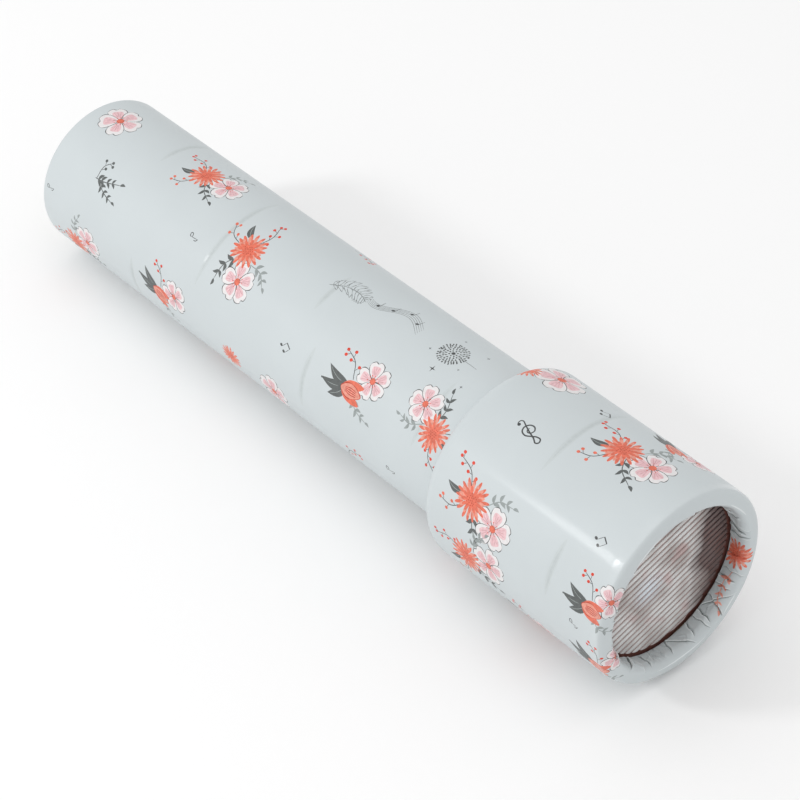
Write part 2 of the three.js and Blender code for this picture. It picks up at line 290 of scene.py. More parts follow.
def dahlia(pen, radius=4.4, seed=0):
    """A coral flower from the front: rings of narrow petals round a speckled middle."""
    rng = random.Random(seed)
    for count, reach, long_half, wide_half, ink in (
        (17, 0.74, 0.27, 0.085, "coral"), (15, 0.56, 0.25, 0.09, "coral_light"),
        (13, 0.42, 0.22, 0.09, "coral"),
    ):
        start = rng.uniform(0, 360)
        for i in range(count):
            angle = start + i * 360 / count + rng.uniform(-4, 4)
            a = math.radians(angle)
            r = radius * reach * rng.uniform(0.94, 1.06)
            petal = ellipse(
                r * math.cos(a), r * math.sin(a), long_half * radius, wide_half * radius, angle, 12,
            )
            pen.fill(petal, ink)
    middle = ellipse(0, 0, 0.34 * radius, 0.34 * radius, steps=18)
    pen.fill(middle, "coral")
    speckles(pen, middle, 0.62, seed + 3)


def speckles(pen, points, spacing, seed=0, ink="coral_dark"):
    """Small dabs in loose rows inside an outline."""
    rng = random.Random(seed)
    low, high = points.min(0), points.max(0)
    for i, x in enumerate(np.arange(low[0] + 0.2, high[0], spacing)):
        for y in np.arange(low[1] + 0.2 + 0.5 * spacing * (i % 2), high[1], spacing):
            spot = np.array((x + rng.uniform(-0.1, 0.1), y + rng.uniform(-0.1, 0.1)))
            around = spot + 0.24 * np.array(((1, 0), (-1, 0), (0, 1), (0, -1)))
            if winding(points, around).all():
                pen.fill(ellipse(*spot, 0.16, 0.12, 30, 6), ink)


def leaf(pen, x, y, towards, length, width, ink="grey", line=None, vein=None):
    """A pointed leaf from (x, y)."""
    t = np.linspace(0, 1, 9)
    half = 0.5 * width * np.sin(math.pi * t ** 0.75) ** 0.9
    bow = 0.12 * length * np.sin(math.pi * t)
    upper = np.stack((t * length, bow + half), axis=1)
    lower = np.stack((t * length, bow - half), axis=1)[::-1]
    turn = turned(towards)
    outline = np.vstack((upper, lower[1:-1])) @ turn + (x, y)
    if line:
        pen.outlined(outline, ink, line, 0.17)
    else:
        pen.fill(outline, ink)
    if vein:
        middle = np.stack((t[1:-1] * length, bow[1:-1]), axis=1) @ turn + (x, y)
        pen.stroke(middle, 0.15, vein)


def leafy_stem(pen, points, ink="grey", size=2.6, pairs=4, seed=0):
    """A thin curved stem with leaves on both sides and one at its tip."""
    rng = random.Random(seed)
    stem = curve(points, 6)
    pen.stroke(stem, 0.24, ink, (0.8, 0.5))
    for i in range(pairs):
        k = int((i + 1) / (pairs + 1) * (len(stem) - 1))
        length = size * (1 - 0.1 * i) * rng.uniform(0.9, 1.1)
        for side in (48, -48):
            leaf(pen, *stem[k], heading(stem, k) + side, length, 0.42 * length, ink)
    leaf(pen, *stem[-1], heading(stem, -1), 0.8 * size, 0.34 * size, ink)


def berry_stem(pen, points, count=5, ink="accent"):
    """A fine branching stem with a small round berry at the end of each stalk."""
    stem = curve(points, 6)
    pen.stroke(stem, 0.2, "line", (0.9, 0.5))
    for i in range(count):
        k = int((i + 1.5) / (count + 1) * (len(stem) - 1))
        ahead = stem[k] - stem[k - 1]
        ahead = ahead / np.linalg.norm(ahead)
        side = np.array((-ahead[1], ahead[0])) * (1 if i % 2 else -1)
        end = stem[k] + side * 1.1 + ahead * 0.8
        pen.stroke([stem[k], (stem[k] + end) / 2, end], 0.15, "line")
        pen.fill(ellipse(*end, 0.46, 0.4, steps=10), ink)
    pen.fill(ellipse(*stem[-1], 0.46, 0.4, steps=10), ink)


def tulip(pen, seed=0):
    """A cupped coral flower of three petals on a short stem, opening along x."""
    pen.stroke(curve([(-6.4, -0.8), (-3.4, -0.6), (-0.6, 0)], 5), 0.34, "grey", (0.8, 0.9))
    for side in (1, -1):
        petal = closed_curve([
            (-0.8, 0), (0.4, 1.7 * side), (2.6, 2.3 * side), (4.8, 1.9 * side), (3.2, 0.6 * side),
            (1.2, 0.1 * side),
        ])
        pen.fill(petal, "coral")
    middle = closed_curve([(-0.9, 0), (0.6, 1.3), (2.6, 1.3), (4.7, 0), (2.6, -1.3), (0.6, -1.3)])
    pen.outlined(middle, "coral_light", "coral_dark", 0.2)
    rng = random.Random(seed)
    for y in (-0.66, -0.22, 0.22, 0.66):
        line = curve([(0.3, 0.5 * y), (1.8, y), (3.2 + rng.uniform(0, 0.5), 0.7 * y)], 4)
        pen.stroke(line, 0.17, "coral_dark")


def seed_head(pen, radius=3.7):
    """A round seed head on a fine stem: short rays from the middle, each with a tuft."""
    pen.stroke([(0, 0), (radius + 2, 0.1), (radius + 4.3, 0)], 0.14, "line_soft")
    rng = random.Random(5)
    for count, reach in ((30, 1.0), (26, 0.84), (20, 0.66), (14, 0.47), (8, 0.27)):
        start = rng.uniform(0, 360)
        for i in range(count):
            a = math.radians(start + 360 * i / count + rng.uniform(-3, 3))
            end = radius * reach * rng.uniform(0.96, 1.03) * np.array((math.cos(a), math.sin(a)))
            pen.stroke([end * 0.8, end * 0.9, end], 0.12, "line_soft", (1, 1))
            pen.fill(ellipse(*end, 0.27, 0.2, math.degrees(a), 8), rng.choice(("line", "grey")))
    pen.fill(ellipse(0, 0, 0.5, 0.5, steps=10), "line")


def note(pen):
    """A single quaver."""
    pen.stroke(ellipse(0, 0, 0.55, 0.42, 20, 13), 0.22, "line", (1, 1))
    pen.stroke([(0.5, 0.15), (0.62, 1.2), (0.7, 2.4)], 0.16, "line")
    pen.stroke(curve([(0.7, 2.4), (1.2, 1.9), (1.15, 1.2)], 4), 0.2, "line")


def beamed_notes(pen):
    """Two quavers under one beam."""
    for x in (0, 1.7):
        pen.fill(ellipse(x, 0, 0.46, 0.34, 20, 10), "line")
        pen.stroke([(x + 0.4, 0.1), (x + 0.42, 1.0), (x + 0.45, 2.0)], 0.15, "line")
    pen.stroke([(0.42, 1.95), (1.3, 2.05), (2.17, 2.1)], 0.3, "line", (1, 1))


def clef(pen):
    """A treble clef lying along x."""
    line = curve([
        (-2.6, -0.9), (-3.2, -0.5), (-3.3, 0.3), (-2.7, 0.7), (-1.6, 0.4), (0.4, -0.1),
        (2.6, -0.5), (3.9, -1.0), (4.5, -0.4), (4.0, 0.4), (2.9, 0.2), (1.7, -0.7),
        (0.6, -1.4), (-0.7, -1.2), (-1.3, -0.1), (-0.8, 1.1), (0.3, 1.5), (1.2, 0.9),
        (1.1, -0.1), (0.4, -0.5), (-0.2, -0.1), (-0.1, 0.5),
    ], 5)
    pen.stroke(line, 0.36, "line", (0.5, 0.5))
    pen.fill(ellipse(-2.75, -0.55, 0.42, 0.42, steps=10), "line")


def sparkle(pen, size=1.0):
    """A four-pointed star."""
    points = []
    for i in range(8):
        r = size if i % 2 == 0 else size * 0.22
        a = math.radians(45 * i)
        points.append((r * math.cos(a), r * math.sin(a)))
    pen.fill(points, "line")


def staff_ribbon(pen):
    """Five staff lines that wave along x, with a few notes on them."""
    x = np.linspace(-9, 9, 30)
    middle = 2.1 * np.sin(x * 0.33 + 0.6)
    for i in range(5):
        spread = (i - 2) * (0.55 + 0.12 * np.sin(x * 0.2))
        line = np.stack((x, middle + spread), axis=1)
        pen.stroke(line, 0.12, "line_soft", (0.4, 0.4))
    for place, lift in ((-5.6, 0.4), (-1.6, -0.3), (2.4, 0.5), (6.2, -0.2)):
        y = 2.1 * math.sin(place * 0.33 + 0.6) + lift
        pen.fill(ellipse(place, y, 0.5, 0.36, 25, 10), "line")
        pen.stroke([(place + 0.42, y), (place + 0.45, y + 1), (place + 0.5, y + 2.1)], 0.15, "line")


# ---------- the two printed sheets ----------

def coral_posy(pen, seed):
    """A coral dahlia and a pale blossom with grey leaves and red berries."""
    leafy_stem(pen, [(2, -1), (3.6, -5.4), (7.4, -8.4)], "grey", 2.4, 3, seed)
    leafy_stem(pen, [(4, 2), (6.2, 5.4), (9.8, 6.8)], "grey_light", 2.2, 3, seed + 1)
    berry_stem(pen, [(-1, 1), (-4.4, 4.6), (-9.0, 5.2)], 5)
    berry_stem(pen, [(-1, -2), (-4.0, -5.4), (-7.6, -6.0)], 3, "coral")
    leaf(pen, -3.2, -0.6, 186, 4.8, 1.8, "grey", None, "grey_light")
    blossom(pen.moved(8.4, -0.8), 5.4, seed + 2)
    dahlia(pen, 5.0, seed + 3)


def tulip_posy(pen, seed):
    """A tulip and a pale blossom among broad dark leaves."""
    for towards, length in ((150, 7.2), (178, 8.4), (206, 6.8)):
        leaf(pen, 0.4, 0, towards, length, 2.5, "grey", None, "grey_light")
    berry_stem(pen, [(1.6, 1.4), (0.8, 5.2), (-2.2, 7.6)], 4)
    leafy_stem(pen, [(2, -1.4), (3.4, -5.0), (6.6, -7.2)], "grey_light", 2.0, 3, seed)
    blossom(pen.moved(7.0, 2.2), 4.8, seed + 1)
    tulip(pen.moved(-0.6, -0.8, -14, 1.15), seed)


def grey_sprig(pen):
    """Two leafy stems and a few berries in dark grey."""
    leafy_stem(pen, [(-4.6, -1.6), (-1.4, 0), (2.8, 3.2)], "grey", 2.3, 4, 3)
    leafy_stem(pen, [(-3.4, -1.0), (0.4, -1.8), (4.4, -1.4)], "grey", 2.0, 3, 4)
    berry_stem(pen, [(-4.2, -1.4), (-5.4, 1.8), (-4.4, 4.4)], 3, "grey")


def line_fern(pen):
    """A fern frond in fine lines."""
    stem = curve([(-5.6, -1.2), (-1.4, 0.4), (3.0, 0.2), (6.4, -1.4)], 8)
    pen.stroke(stem, 0.16, "line_soft", (1, 0.6))
    count = 9
    for i in range(count):
        k = int((i + 1) / (count + 1) * (len(stem) - 1))
        length = 3.2 * math.sin(math.pi * (i + 1.4) / (count + 1.6)) + 0.7
        for side in (56, -56):
            leaf(
                pen, *stem[k], heading(stem, k) + side, length, 0.34 * length,
                "ground", "line_soft",
            )


# Where each sheet's motifs are, from the front of the cap and from the top line: each one's place
# along u, its degrees round, its turn and size, and what else it takes.
TUBE_PRINT = [
    (blossom, -202, 2, 0, 1, 6.0, 1),
    (coral_posy, -168.5, -3, 12, 0.92, 3),
    (tulip_posy, -162.5, 92, -8, 0.95, 4),
    (coral_posy, -139.5, 26, -62, 1, 5),
    (tulip_posy, -92.5, 60, 16, 1.05, 6),
    (coral_posy, -64, 52, 150, 0.9, 7),
    (blossom, -118, 110, 0, 1, 5.4, 8),
    (coral_posy, -199, 112, 38, 0.9, 9),
    (grey_sprig, -189, 48, -20, 1),
    (line_fern, -109.5, 6, 10, 0.95),
    (staff_ribbon, -95, -1, 0, 0.95),
    (seed_head, -75.4, -0.5, 0, 1),
    (dahlia, -134, 106, 0, 1, 3.4, 10),
    (berry_stem, -90, 112, 30, 1, [(-4, -2), (0, 0), (4, -1)], 5),
    (berry_stem, -121, -36, -10, 1, [(-4, 0), (0, 0.8), (4, 0)], 5),
    (note, -156.5, 40, -80, 1),
    (note, -209, 75, -70, 0.9),
    (beamed_notes, -115.5, 65, -40, 1),
    (note, -75, 97, -70, 1),
    (sparkle, -77.5, -17, 0, 0.5),
    (sparkle, -69.4, -16, 0, 0.6),
    (sparkle, -80.5, 7, 0, 0.5),
    (sparkle, -75.4, 18, 0, 1),
    (sparkle, -70.4, 8, 0, 0.4),
    (sparkle, -66, 17, 0, 0.55),
]
CAP_PRINT = [
    (blossom, -50, -24, 0, 1, 6.6, 31),
    (coral_posy, -22, -4, 10, 1, 32),
    (tulip_posy, -19, -37, -10, 0.9, 33),
    (coral_posy, -43.5, 66, -14, 1, 34),
    (coral_posy, -43, 102, 24, 0.95, 35),
    (tulip_posy, -5.5, 74, 12, 0.9, 36),
    (tulip_posy, -3.5, 112, -16, 0.9, 37),
    (clef, -41.5, 19, -8, 1),
    (dahlia, -57, -14, 0, 1, 3.6, 38),
    (beamed_notes, -36, -21, -50, 1),
    (beamed_notes, -10.5, 43, -40, 1),
    (note, -9, 90, -90, 0.9),
    (note, -28.5, 128, -60, 1),
]
# On the paper that is turned in over the front rim.
RIM_PRINT = [
    (dahlia, 5.6, -99, 0, 1, 4.6, 39),
    (leafy_stem, 5.2, -112, 0, 1, [(0, 0), (0.8, 4.0), (0.2, 8.4), (-1.4, 11.4)],
     "coral_light", 2.0, 4),
]
# The print comes round again on the side turned away: how much further along, and how far round.
TUBE_LAPS = [(0, 0), (17, 172), (-168, 172)]
CAP_LAPS = [(0, 0), (-9, 165)]

# Where the card has been gripped, leaving a dent with painted shade along it: u, from degrees, to
# degrees.
TUBE_GRIPS = [
    (-181.7, -38, 10), (-148.3, -23, 68), (-112.8, -4, 32), (-105.7, 52, 100), (-68.2, 16, 68),
    (-172.6, 82, 120),
]
CAP_GRIPS = [(-32.3, -34, 32), (-16.7, 52, 86)]


def repeated(places, laps):
    return [(u + shift, a + lap, b + lap) for shift, lap in laps for u, a, b in places]


def dent_shading(sheet, places):
    """Painted shade along each shallow dent, with a little scuffing: the paper is drawn a little
    darker there.
    """
    for u, start, end in places:
        around = np.radians(np.linspace(start, end, 24))
        line = np.stack((0.5 * np.sin(around * 3), -around * sheet.radius), axis=1)
        pen = sheet.pen(u, 0)
        pen.stroke(line, 1.6, "dent_shade_and_scuff", (0.1, 0.1))
        pen.stroke(line[3:-3], 0.8, "dent_shade_and_scuff_deep", (0.1, 0.1))


def printed_sheet(radius, motifs, dent_shade_and_scuff, laps):
    sheet = Sheet(radius)
    for shift, lap in laps:
        dent_shading(sheet, repeated(dent_shade_and_scuff, [(shift, lap)]))
        for motif, u, degrees, turn, size, *rest in motifs:
            motif(sheet.pen(u + shift, degrees + lap, turn, size), *rest)
    return sheet


def creased(sheet):
    """Painted shade in a thin dark line along each sharper pleat, and a painted highlight beside
    it.
    """
    last = 8.4
    pen = sheet.pen(0, 0)
    for angle, lean, start, high, _, side, phase in Pleats(LIP_RADIUS).edges:
        if high < 0.26:
            continue
        u = np.linspace(start + 0.2, last, 14)
        around = (angle + lean * (u - 5) + PLEAT_WAVE * np.sin(2.2 * u + phase)) * sheet.radius
        for away, width, ink in ((0.26, 0.3, "crease_highlight"), (-0.06, 0.2, "crease_shade")):
            line = np.stack((u, -around - side * away), axis=1)
            pen.stroke(line, width * (0.6 + high), ink, (0.1, 0.5))
    # Painted highlight: pale strokes along the crest of the rim.
    for start, end in ((164, 206), (222, 236), (20, 48), (300, 322)):
        around = np.radians(np.linspace(start, end, 20)) * sheet.radius
        bow = 2.3 + 0.15 * np.sin(around / 3)
        pen.stroke(np.stack((bow, -around), axis=1), 0.32, "crease_highlight", (0.1, 0.1))


def cap_print():
    sheet = printed_sheet(CAP_R, CAP_PRINT, CAP_GRIPS, CAP_LAPS)
    creased(sheet)
    for motif, u, degrees, turn, size, *rest in RIM_PRINT:
        motif(sheet.pen(u, degrees, turn, size), *rest)
    return sheet


# ---------- wrapping a sheet round a turned section ----------

class Section:
    """A turned outline as [radius, x] points, measured along itself by u in millimetres."""

    def __init__(self, points, u_start):
        points = np.array(points, float)
        steps = np.linalg.norm(np.diff(points, axis=0), axis=1)
        self.u = u_start + np.concatenate(([0], np.cumsum(steps)))
        self.points = points

    def at(self, u):
        return np.interp(u, self.u, self.points[:, 0]), np.interp(u, self.u, self.points[:, 1])

    def outward(self, u):
        """The direction square to the outline, as radius and x."""
        ahead, behind = self.at(u + 0.02), self.at(u - 0.02)
        along_r, along_x = ahead[0] - behind[0], ahead[1] - behind[1]
        length = np.maximum(np.hypot(along_r, along_x), 1e-9)
        return along_x / length, -along_r / length


def arc(centre_r, centre_x, reach_r, reach_x, a0, a1, steps=24):
    t = np.radians(np.linspace(a0, a1, steps))
    return [(centre_r + reach_r * math.cos(a), centre_x + reach_x * math.sin(a)) for a in t]


def winding(outline, spots):
    """True for each spot that lies inside the outline."""
    x, y = spots[:, 0], spots[:, 1]
    x0, y0 = outline[:, 0], outline[:, 1]
    x1, y1 = np.roll(x0, -1), np.roll(y0, -1)
    inside = np.zeros(len(spots), int)
    for ax, ay, bx, by in zip(x0, y0, x1, y1):
        up = (ay <= y) & (by > y)
        down = (ay > y) & (by <= y)
        if not (up.any() or down.any()):
            continue
        side = (bx - ax) * (y - ay) - (x - ax) * (by - ay)
        inside += (up & (side > 0)).astype(int) - (down & (side < 0)).astype(int)
    return inside != 0


def clipped(outline, axis, low, high):
    """The outline cut to low..high along one axis."""
    for sign, limit in ((1, high), (-1, -low)):
        kept = []
        for a, b in zip(outline, np.roll(outline, -1, axis=0)):
            da, db = sign * a[axis] - limit, sign * b[axis] - limit
            if da <= 0:
                kept.append(a)
            if (da < 0 < db) or (db < 0 < da):
                kept.append(a + (b - a) * (da / (da - db)))
        outline = np.array(kept)
        if len(outline) < 3:
            return None
    return outline


def flat_triangles(sheet, rows, columns_of, u_range, round_length):
    """Cuts the flat sheet along its grid and every shape's outline.

    Returns the flat vertices, the triangles and the ink of each triangle."""
    placed = []
    for outline, ink in sheet.shapes:
        for lap in (-2, -1, 0, 1, 2):
            moved = outline + (0, lap * round_length)
            if moved[:, 1].max() <= 0 or moved[:, 1].min() >= round_length:
                continue
            moved = clipped(moved, 1, 0.0, round_length)
            if moved is not None:
                moved = clipped(moved, 0, *u_range)
            if moved is not None:
                placed.append((moved, ink))

    vertices, edges, lookup = [], [], {}

    def vertex(u, v):
        key = (round(u, 4), round(v, 4))
        if key not in lookup:
            lookup[key] = len(vertices)
            vertices.append(Vector(key))
        return lookup[key]

    previous = None
    for u in rows:
        count = columns_of(u)
        line = {k / count: vertex(u, round_length * k / count) for k in range(count + 1)}
        ordered = list(line.values())
        edges += list(zip(ordered, ordered[1:]))
        if previous is not None:
            shared = sorted(set(previous) & set(line))
            edges += [(previous[k], line[k]) for k in shared]
        previous = line
    for outline, _ in placed:
        ids = [vertex(u, v) for u, v in outline]
        edges += [(a, b) for a, b in zip(ids, ids[1:] + ids[:1]) if a != b]

    flat, _, faces, _, _, _ = delaunay_2d_cdt(vertices, edges, [], 0, 1e-4, False)
    flat = np.array([tuple(p) for p in flat])
    faces = np.array([tuple(f) for f in faces])
    middle = flat[faces].mean(axis=1)
    order = np.argsort(middle[:, 0])
    sorted_u = middle[order, 0]
    inks = np.zeros(len(faces), int)
    names = list(INKS)
    for outline, ink in placed:
        low, high = outline.min(0), outline.max(0)
        first, last = np.searchsorted(sorted_u, (low[0], high[0]))
        near = order[first:last]
        near = near[(middle[near, 1] >= low[1]) & (middle[near, 1] <= high[1])]
        if len(near):
            inks[near[winding(outline, middle[near])]] = names.index(ink)
    return flat, faces, inks


def ring_quads(rings):
    """Quads between each closed ring of point numbers and the next."""
    quads = []
    for low, high in zip(rings, rings[1:]):
        for k in range(len(low)):
            n = (k + 1) % len(low)
            quads.append((low[k], high[k], high[n], low[n]))
    return quads


def wrapped(name, sheet, section, rows, columns_of, relief, back_rows):
    """The printed paper as a closed thin shell round the turned section."""
    round_length = 2 * math.pi * sheet.radius
    margin = 0.35
    u_range = (rows[0] + margin, rows[-1] - margin)
    flat, faces, inks = flat_triangles(sheet, rows, columns_of, u_range, round_length)

    def place(u, v):
        (radius, x), (out_r, out_x) = section.at(u), section.outward(u)
        angle = v / sheet.radius
        lift = relief(u, angle)
        radius = radius + out_r * lift
        return np.stack((x + out_x * lift, -radius * np.sin(angle), radius * np.cos(angle)), axis=1)

    u, v = flat[:, 0], flat[:, 1]
    points = place(u, v)
    step = 0.06
    u_low, u_high = np.maximum(u - step, rows[0]), np.minimum(u + step, rows[-1])
    along = place(u_high, v) - place(u_low, v)
    around = place(u, v + step) - place(u, v - step)
    normals = np.cross(around, along)
    normals /= np.maximum(np.linalg.norm(normals, axis=1), 1e-12)[:, None]

    # The first and last columns are one line on the round paper.
    on_seam = np.abs(v - round_length) < 1e-3
    start = np.flatnonzero(np.abs(v) < 1e-3)
    order = start[np.argsort(u[start])]
    merged = np.arange(len(flat))
    for i in np.flatnonzero(on_seam):
        k = np.searchsorted(u[order], u[i])
        for near in (k - 1, k):
            if 0 <= near < len(order) and abs(u[order[near]] - u[i]) < 2e-3:
                merged[i] = order[near]
    faces = merged[faces]

    # The paper's inner side, with the same columns as the sheet's two ends.
    count = columns_of(rows[0])
    ends = []
    for row in (rows[0], rows[-1]):
        hit = np.flatnonzero((np.abs(u - row) < 1e-3) & ~on_seam)
        ends.append(hit[np.argsort(v[hit])])
    turns = np.linspace(0, 2 * math.pi, count, endpoint=False)
    back, back_normals = [], []
    for row in back_rows:
        row = np.full(count, row)
        (radius, x), (out_r, out_x) = section.at(row), section.outward(row)
        radius = radius - out_r * PAPER
        x = x - out_x * PAPER
        back.append(np.stack((x, -radius * np.sin(turns), radius * np.cos(turns)), axis=1))
        back_normals.append(
            np.stack((-out_x, out_r * np.sin(turns), -out_r * np.cos(turns)), axis=1)
        )
    base = len(points)
    points = np.vstack([points] + back)
    normals = np.vstack([normals] + back_normals)
    points[:, 2] += AXIS_Z
    middle = [base + i * count + np.arange(count) for i in range(len(back_rows))]
    quads = ring_quads([ends[0], *middle, ends[1]])
    keep = [i for i, f in enumerate(faces) if len(set(f)) == 3]
    polygons = [tuple(faces[i][::-1]) for i in keep] + quads
    face_inks = np.concatenate((inks[keep], np.zeros(len(quads), int)))
    return paper_mesh(name, points, polygons, face_inks, normals)


def linked(name, data):
    obj = bpy.data.objects.new(name, data)
    bpy.context.scene.collection.objects.link(obj)
    return obj


def paper_mesh(name, points, polygons, face_inks, normals):
    mesh = bpy.data.meshes.new(name)
    mesh.from_pydata([tuple(p * MM) for p in points], [], polygons)
    mesh.update()
    colours = np.array([INKS[ink] for ink in INKS], np.float32)
    sizes = np.array([len(p) for p in polygons])
    attribute = mesh.color_attributes.new("print", "FLOAT_COLOR", "CORNER")
    attribute.data.foreach_set("color", colours[np.repeat(face_inks, sizes)].ravel())
    mesh.shade_smooth()
    mesh.normals_split_custom_set_from_vertices([tuple(n) for n in normals])
    return linked(name, mesh)


# ---------- relief of the paper ----------

class Creases:
    """Short folds in the paper, each a narrow ridge from one place on the sheet to another."""

    def __init__(self, folds):
        self.folds = folds

    def height(self, u, angle, radius):
        total = np.zeros(np.broadcast(u, angle).shape)
        for u0, a0, u1, a1, high, wide in self.folds:
            side = (angle - a0 + math.pi) % (2 * math.pi) - math.pi
            x, y = u - u0, side * radius
            ex, ey = u1 - u0, (a1 - a0) * radius
            length = math.hypot(ex, ey)
            t = (x * ex + y * ey) / length ** 2
            away = (x * ey - y * ex) / length
            fade = np.clip(t * 4, 0, 1) * np.clip((1.15 - t) * 5, 0, 1)
            near = (np.abs(away) < 4 * wide) & (fade > 0)
            ridge = np.exp(-np.abs(away) / wide) - 0.45 * np.exp(-((away - 1.6 * wide) / wide) ** 2)
            total = total + np.where(near, high * fade * ridge, 0)
        return total


def rim_creases():
    """Fine folds over the lip, where the cover paper is turned in."""
    rng = random.Random(14)
    folds = []
    for _ in range(70):
        a = rng.uniform(0, 2 * math.pi)
        start = rng.uniform(3.0, 6.4)
        length = rng.uniform(1.0, 2.6)
        lean = rng.gauss(0, 0.08)
        high = rng.uniform(0.08, 0.2)
        folds.append((start, a, start + length, a + lean, high, rng.uniform(0.12, 0.22)))
    return Creases(folds)


class Pleats:
    """The turned-in paper is gathered in overlapping pleats down the inside of the rim.

    Each pleat's edge is a sharp step that sinks back over a millimetre or so."""

    def __init__(self, radius):
        rng = random.Random(22)
        self.radius = radius
        self.edges = []
        angle = 0.0
        while angle < 2 * math.pi:
            start = rng.uniform(1.8, 5.0)
            high = rng.uniform(0.2, 0.62)
            self.edges.append((
                angle, rng.gauss(0, 0.022), start, high, rng.uniform(0.7, 1.8),
                rng.choice((-1, 1, 1)), rng.uniform(0, 6),
            ))
            angle += rng.uniform(1.2, 4.4) / radius

    def height(self, u, angle):
        total = np.zeros(np.broadcast(u, angle).shape)
        for a, lean, start, high, back, side, phase in self.edges:
            line = a + lean * (u - 5) + PLEAT_WAVE * np.sin(2.2 * u + phase)
            away = side * ((angle - line + math.pi) % (2 * math.pi) - math.pi) * self.radius
            near = (away > -1.0) & (away < 5 * back) & (u > start)
            step = np.clip(away / 0.12, 0, 1) * np.exp(-np.maximum(away, 0) / back)
            slit = 0.5 * np.exp(-((away + 0.1) / 0.16) ** 2)
            fade = np.clip((u - start) / 1.4, 0, 1)
            total = total + np.where(near, high * fade * (step - slit), 0)
        return np.clip(total, -0.35, 0.75)


# The last lap of the tube's print brings no dent on to it.
TUBE_DENTS = repeated(TUBE_GRIPS, TUBE_LAPS[:2])
CAP_DENTS = repeated(CAP_GRIPS, CAP_LAPS)
DENT_HALF_WIDTH = 0.75
TUBE_DENT_DEPTH, CAP_DENT_DEPTH = 0.16, 0.14
TUBE_SEAM, CAP_SEAM = 196, 205  # degrees round from the top line
TUBE_LAP_STEP, CAP_LAP_STEP = 0.12, 0.1
FADE = 3  # length over which the relief dies out towards a rounded edge
ROW_STEP = 2.4  # between the grid's rows where the paper is plain


def dent_relief(dents, depth, u, angle):
    """Faint rings pressed into the card where the tube has been gripped."""
    total = np.zeros(np.broadcast(u, angle).shape)
    degrees = np.degrees(angle) % 360
    for place, start, end in dents:
        middle, half = (start + end) / 2, (end - start) / 2
        away = np.abs((degrees - middle + 180) % 360 - 180)
        fade = np.clip((half - away) / 12, 0, 1)
        bow = place + 0.5 * np.sin(angle * 3)
        total = total - depth * fade * np.exp(-((u - bow) / DENT_HALF_WIDTH) ** 2)
    return total


def lap_relief(angle, at_degrees, step):
    """The paper's overlap, a low step along the far side."""
    away = (np.degrees(angle) - at_degrees + 180) % 360 - 180
    return step * np.where(away > 0, np.exp(-away / 14), 0) * np.clip(away / 0.4, 0, 1)


# ---------- pieces ----------

def spaced(low, high, step):
    count = max(1, round((high - low) / step))
    return list(np.linspace(low, high, count + 1))


def dent_rows(dents, rows, low, high):
    """Adds closely spaced rows at each dent."""
    extra = []
    for dent in dents:
        extra += [dent[0] + 0.35 * k for k in range(-7, 8)]
    rows = [r for r in rows if all(abs(r - e) > 0.15 for e in extra)]
    return sorted(rows + [e for e in extra if low < e < high])


def build_tube_paper():
    front = TUBE_HIGH.x
    edge = 0.45
    section = [(TUBE_BORE, EYE_END), (TUBE_BORE + 0.6, EYE_END)]
    section += arc(TUBE_R - edge, EYE_END + edge, edge, edge, -90, 0, 8)
    section.append((TUBE_R, front))
    # u counts from the front of the cap, so it is set by where the straight part ends.
    length = Section(section, 0).u[-1]
    wrap = Section(section, front - CAP_FRONT - length)
    straight = EYE_END + edge - CAP_FRONT
    rows = spaced(straight, wrap.u[-1], ROW_STEP)
    rows = dent_rows(TUBE_DENTS, rows, straight + 1, wrap.u[-1] - 1)
    rows = spaced(wrap.u[0], straight, 0.35)[:-1] + rows

    def relief(u, angle):
        lift = dent_relief(TUBE_DENTS, TUBE_DENT_DEPTH, u, angle)
        lift = lift + lap_relief(angle, TUBE_SEAM, TUBE_LAP_STEP)
        return lift * np.clip((u - straight) / FADE, 0, 1)

    back_rows = [wrap.u[0] + 0.3, straight + 0.3, wrap.u[-1] - 0.3]
    sheet = printed_sheet(TUBE_R, TUBE_PRINT, TUBE_GRIPS, TUBE_LAPS)
    paper = wrapped("tube_printed_paper", sheet, wrap, rows, lambda u: COLUMNS, relief, back_rows)
    return placed(paper, "tube", "printed_paper", "tube_paper_cover")


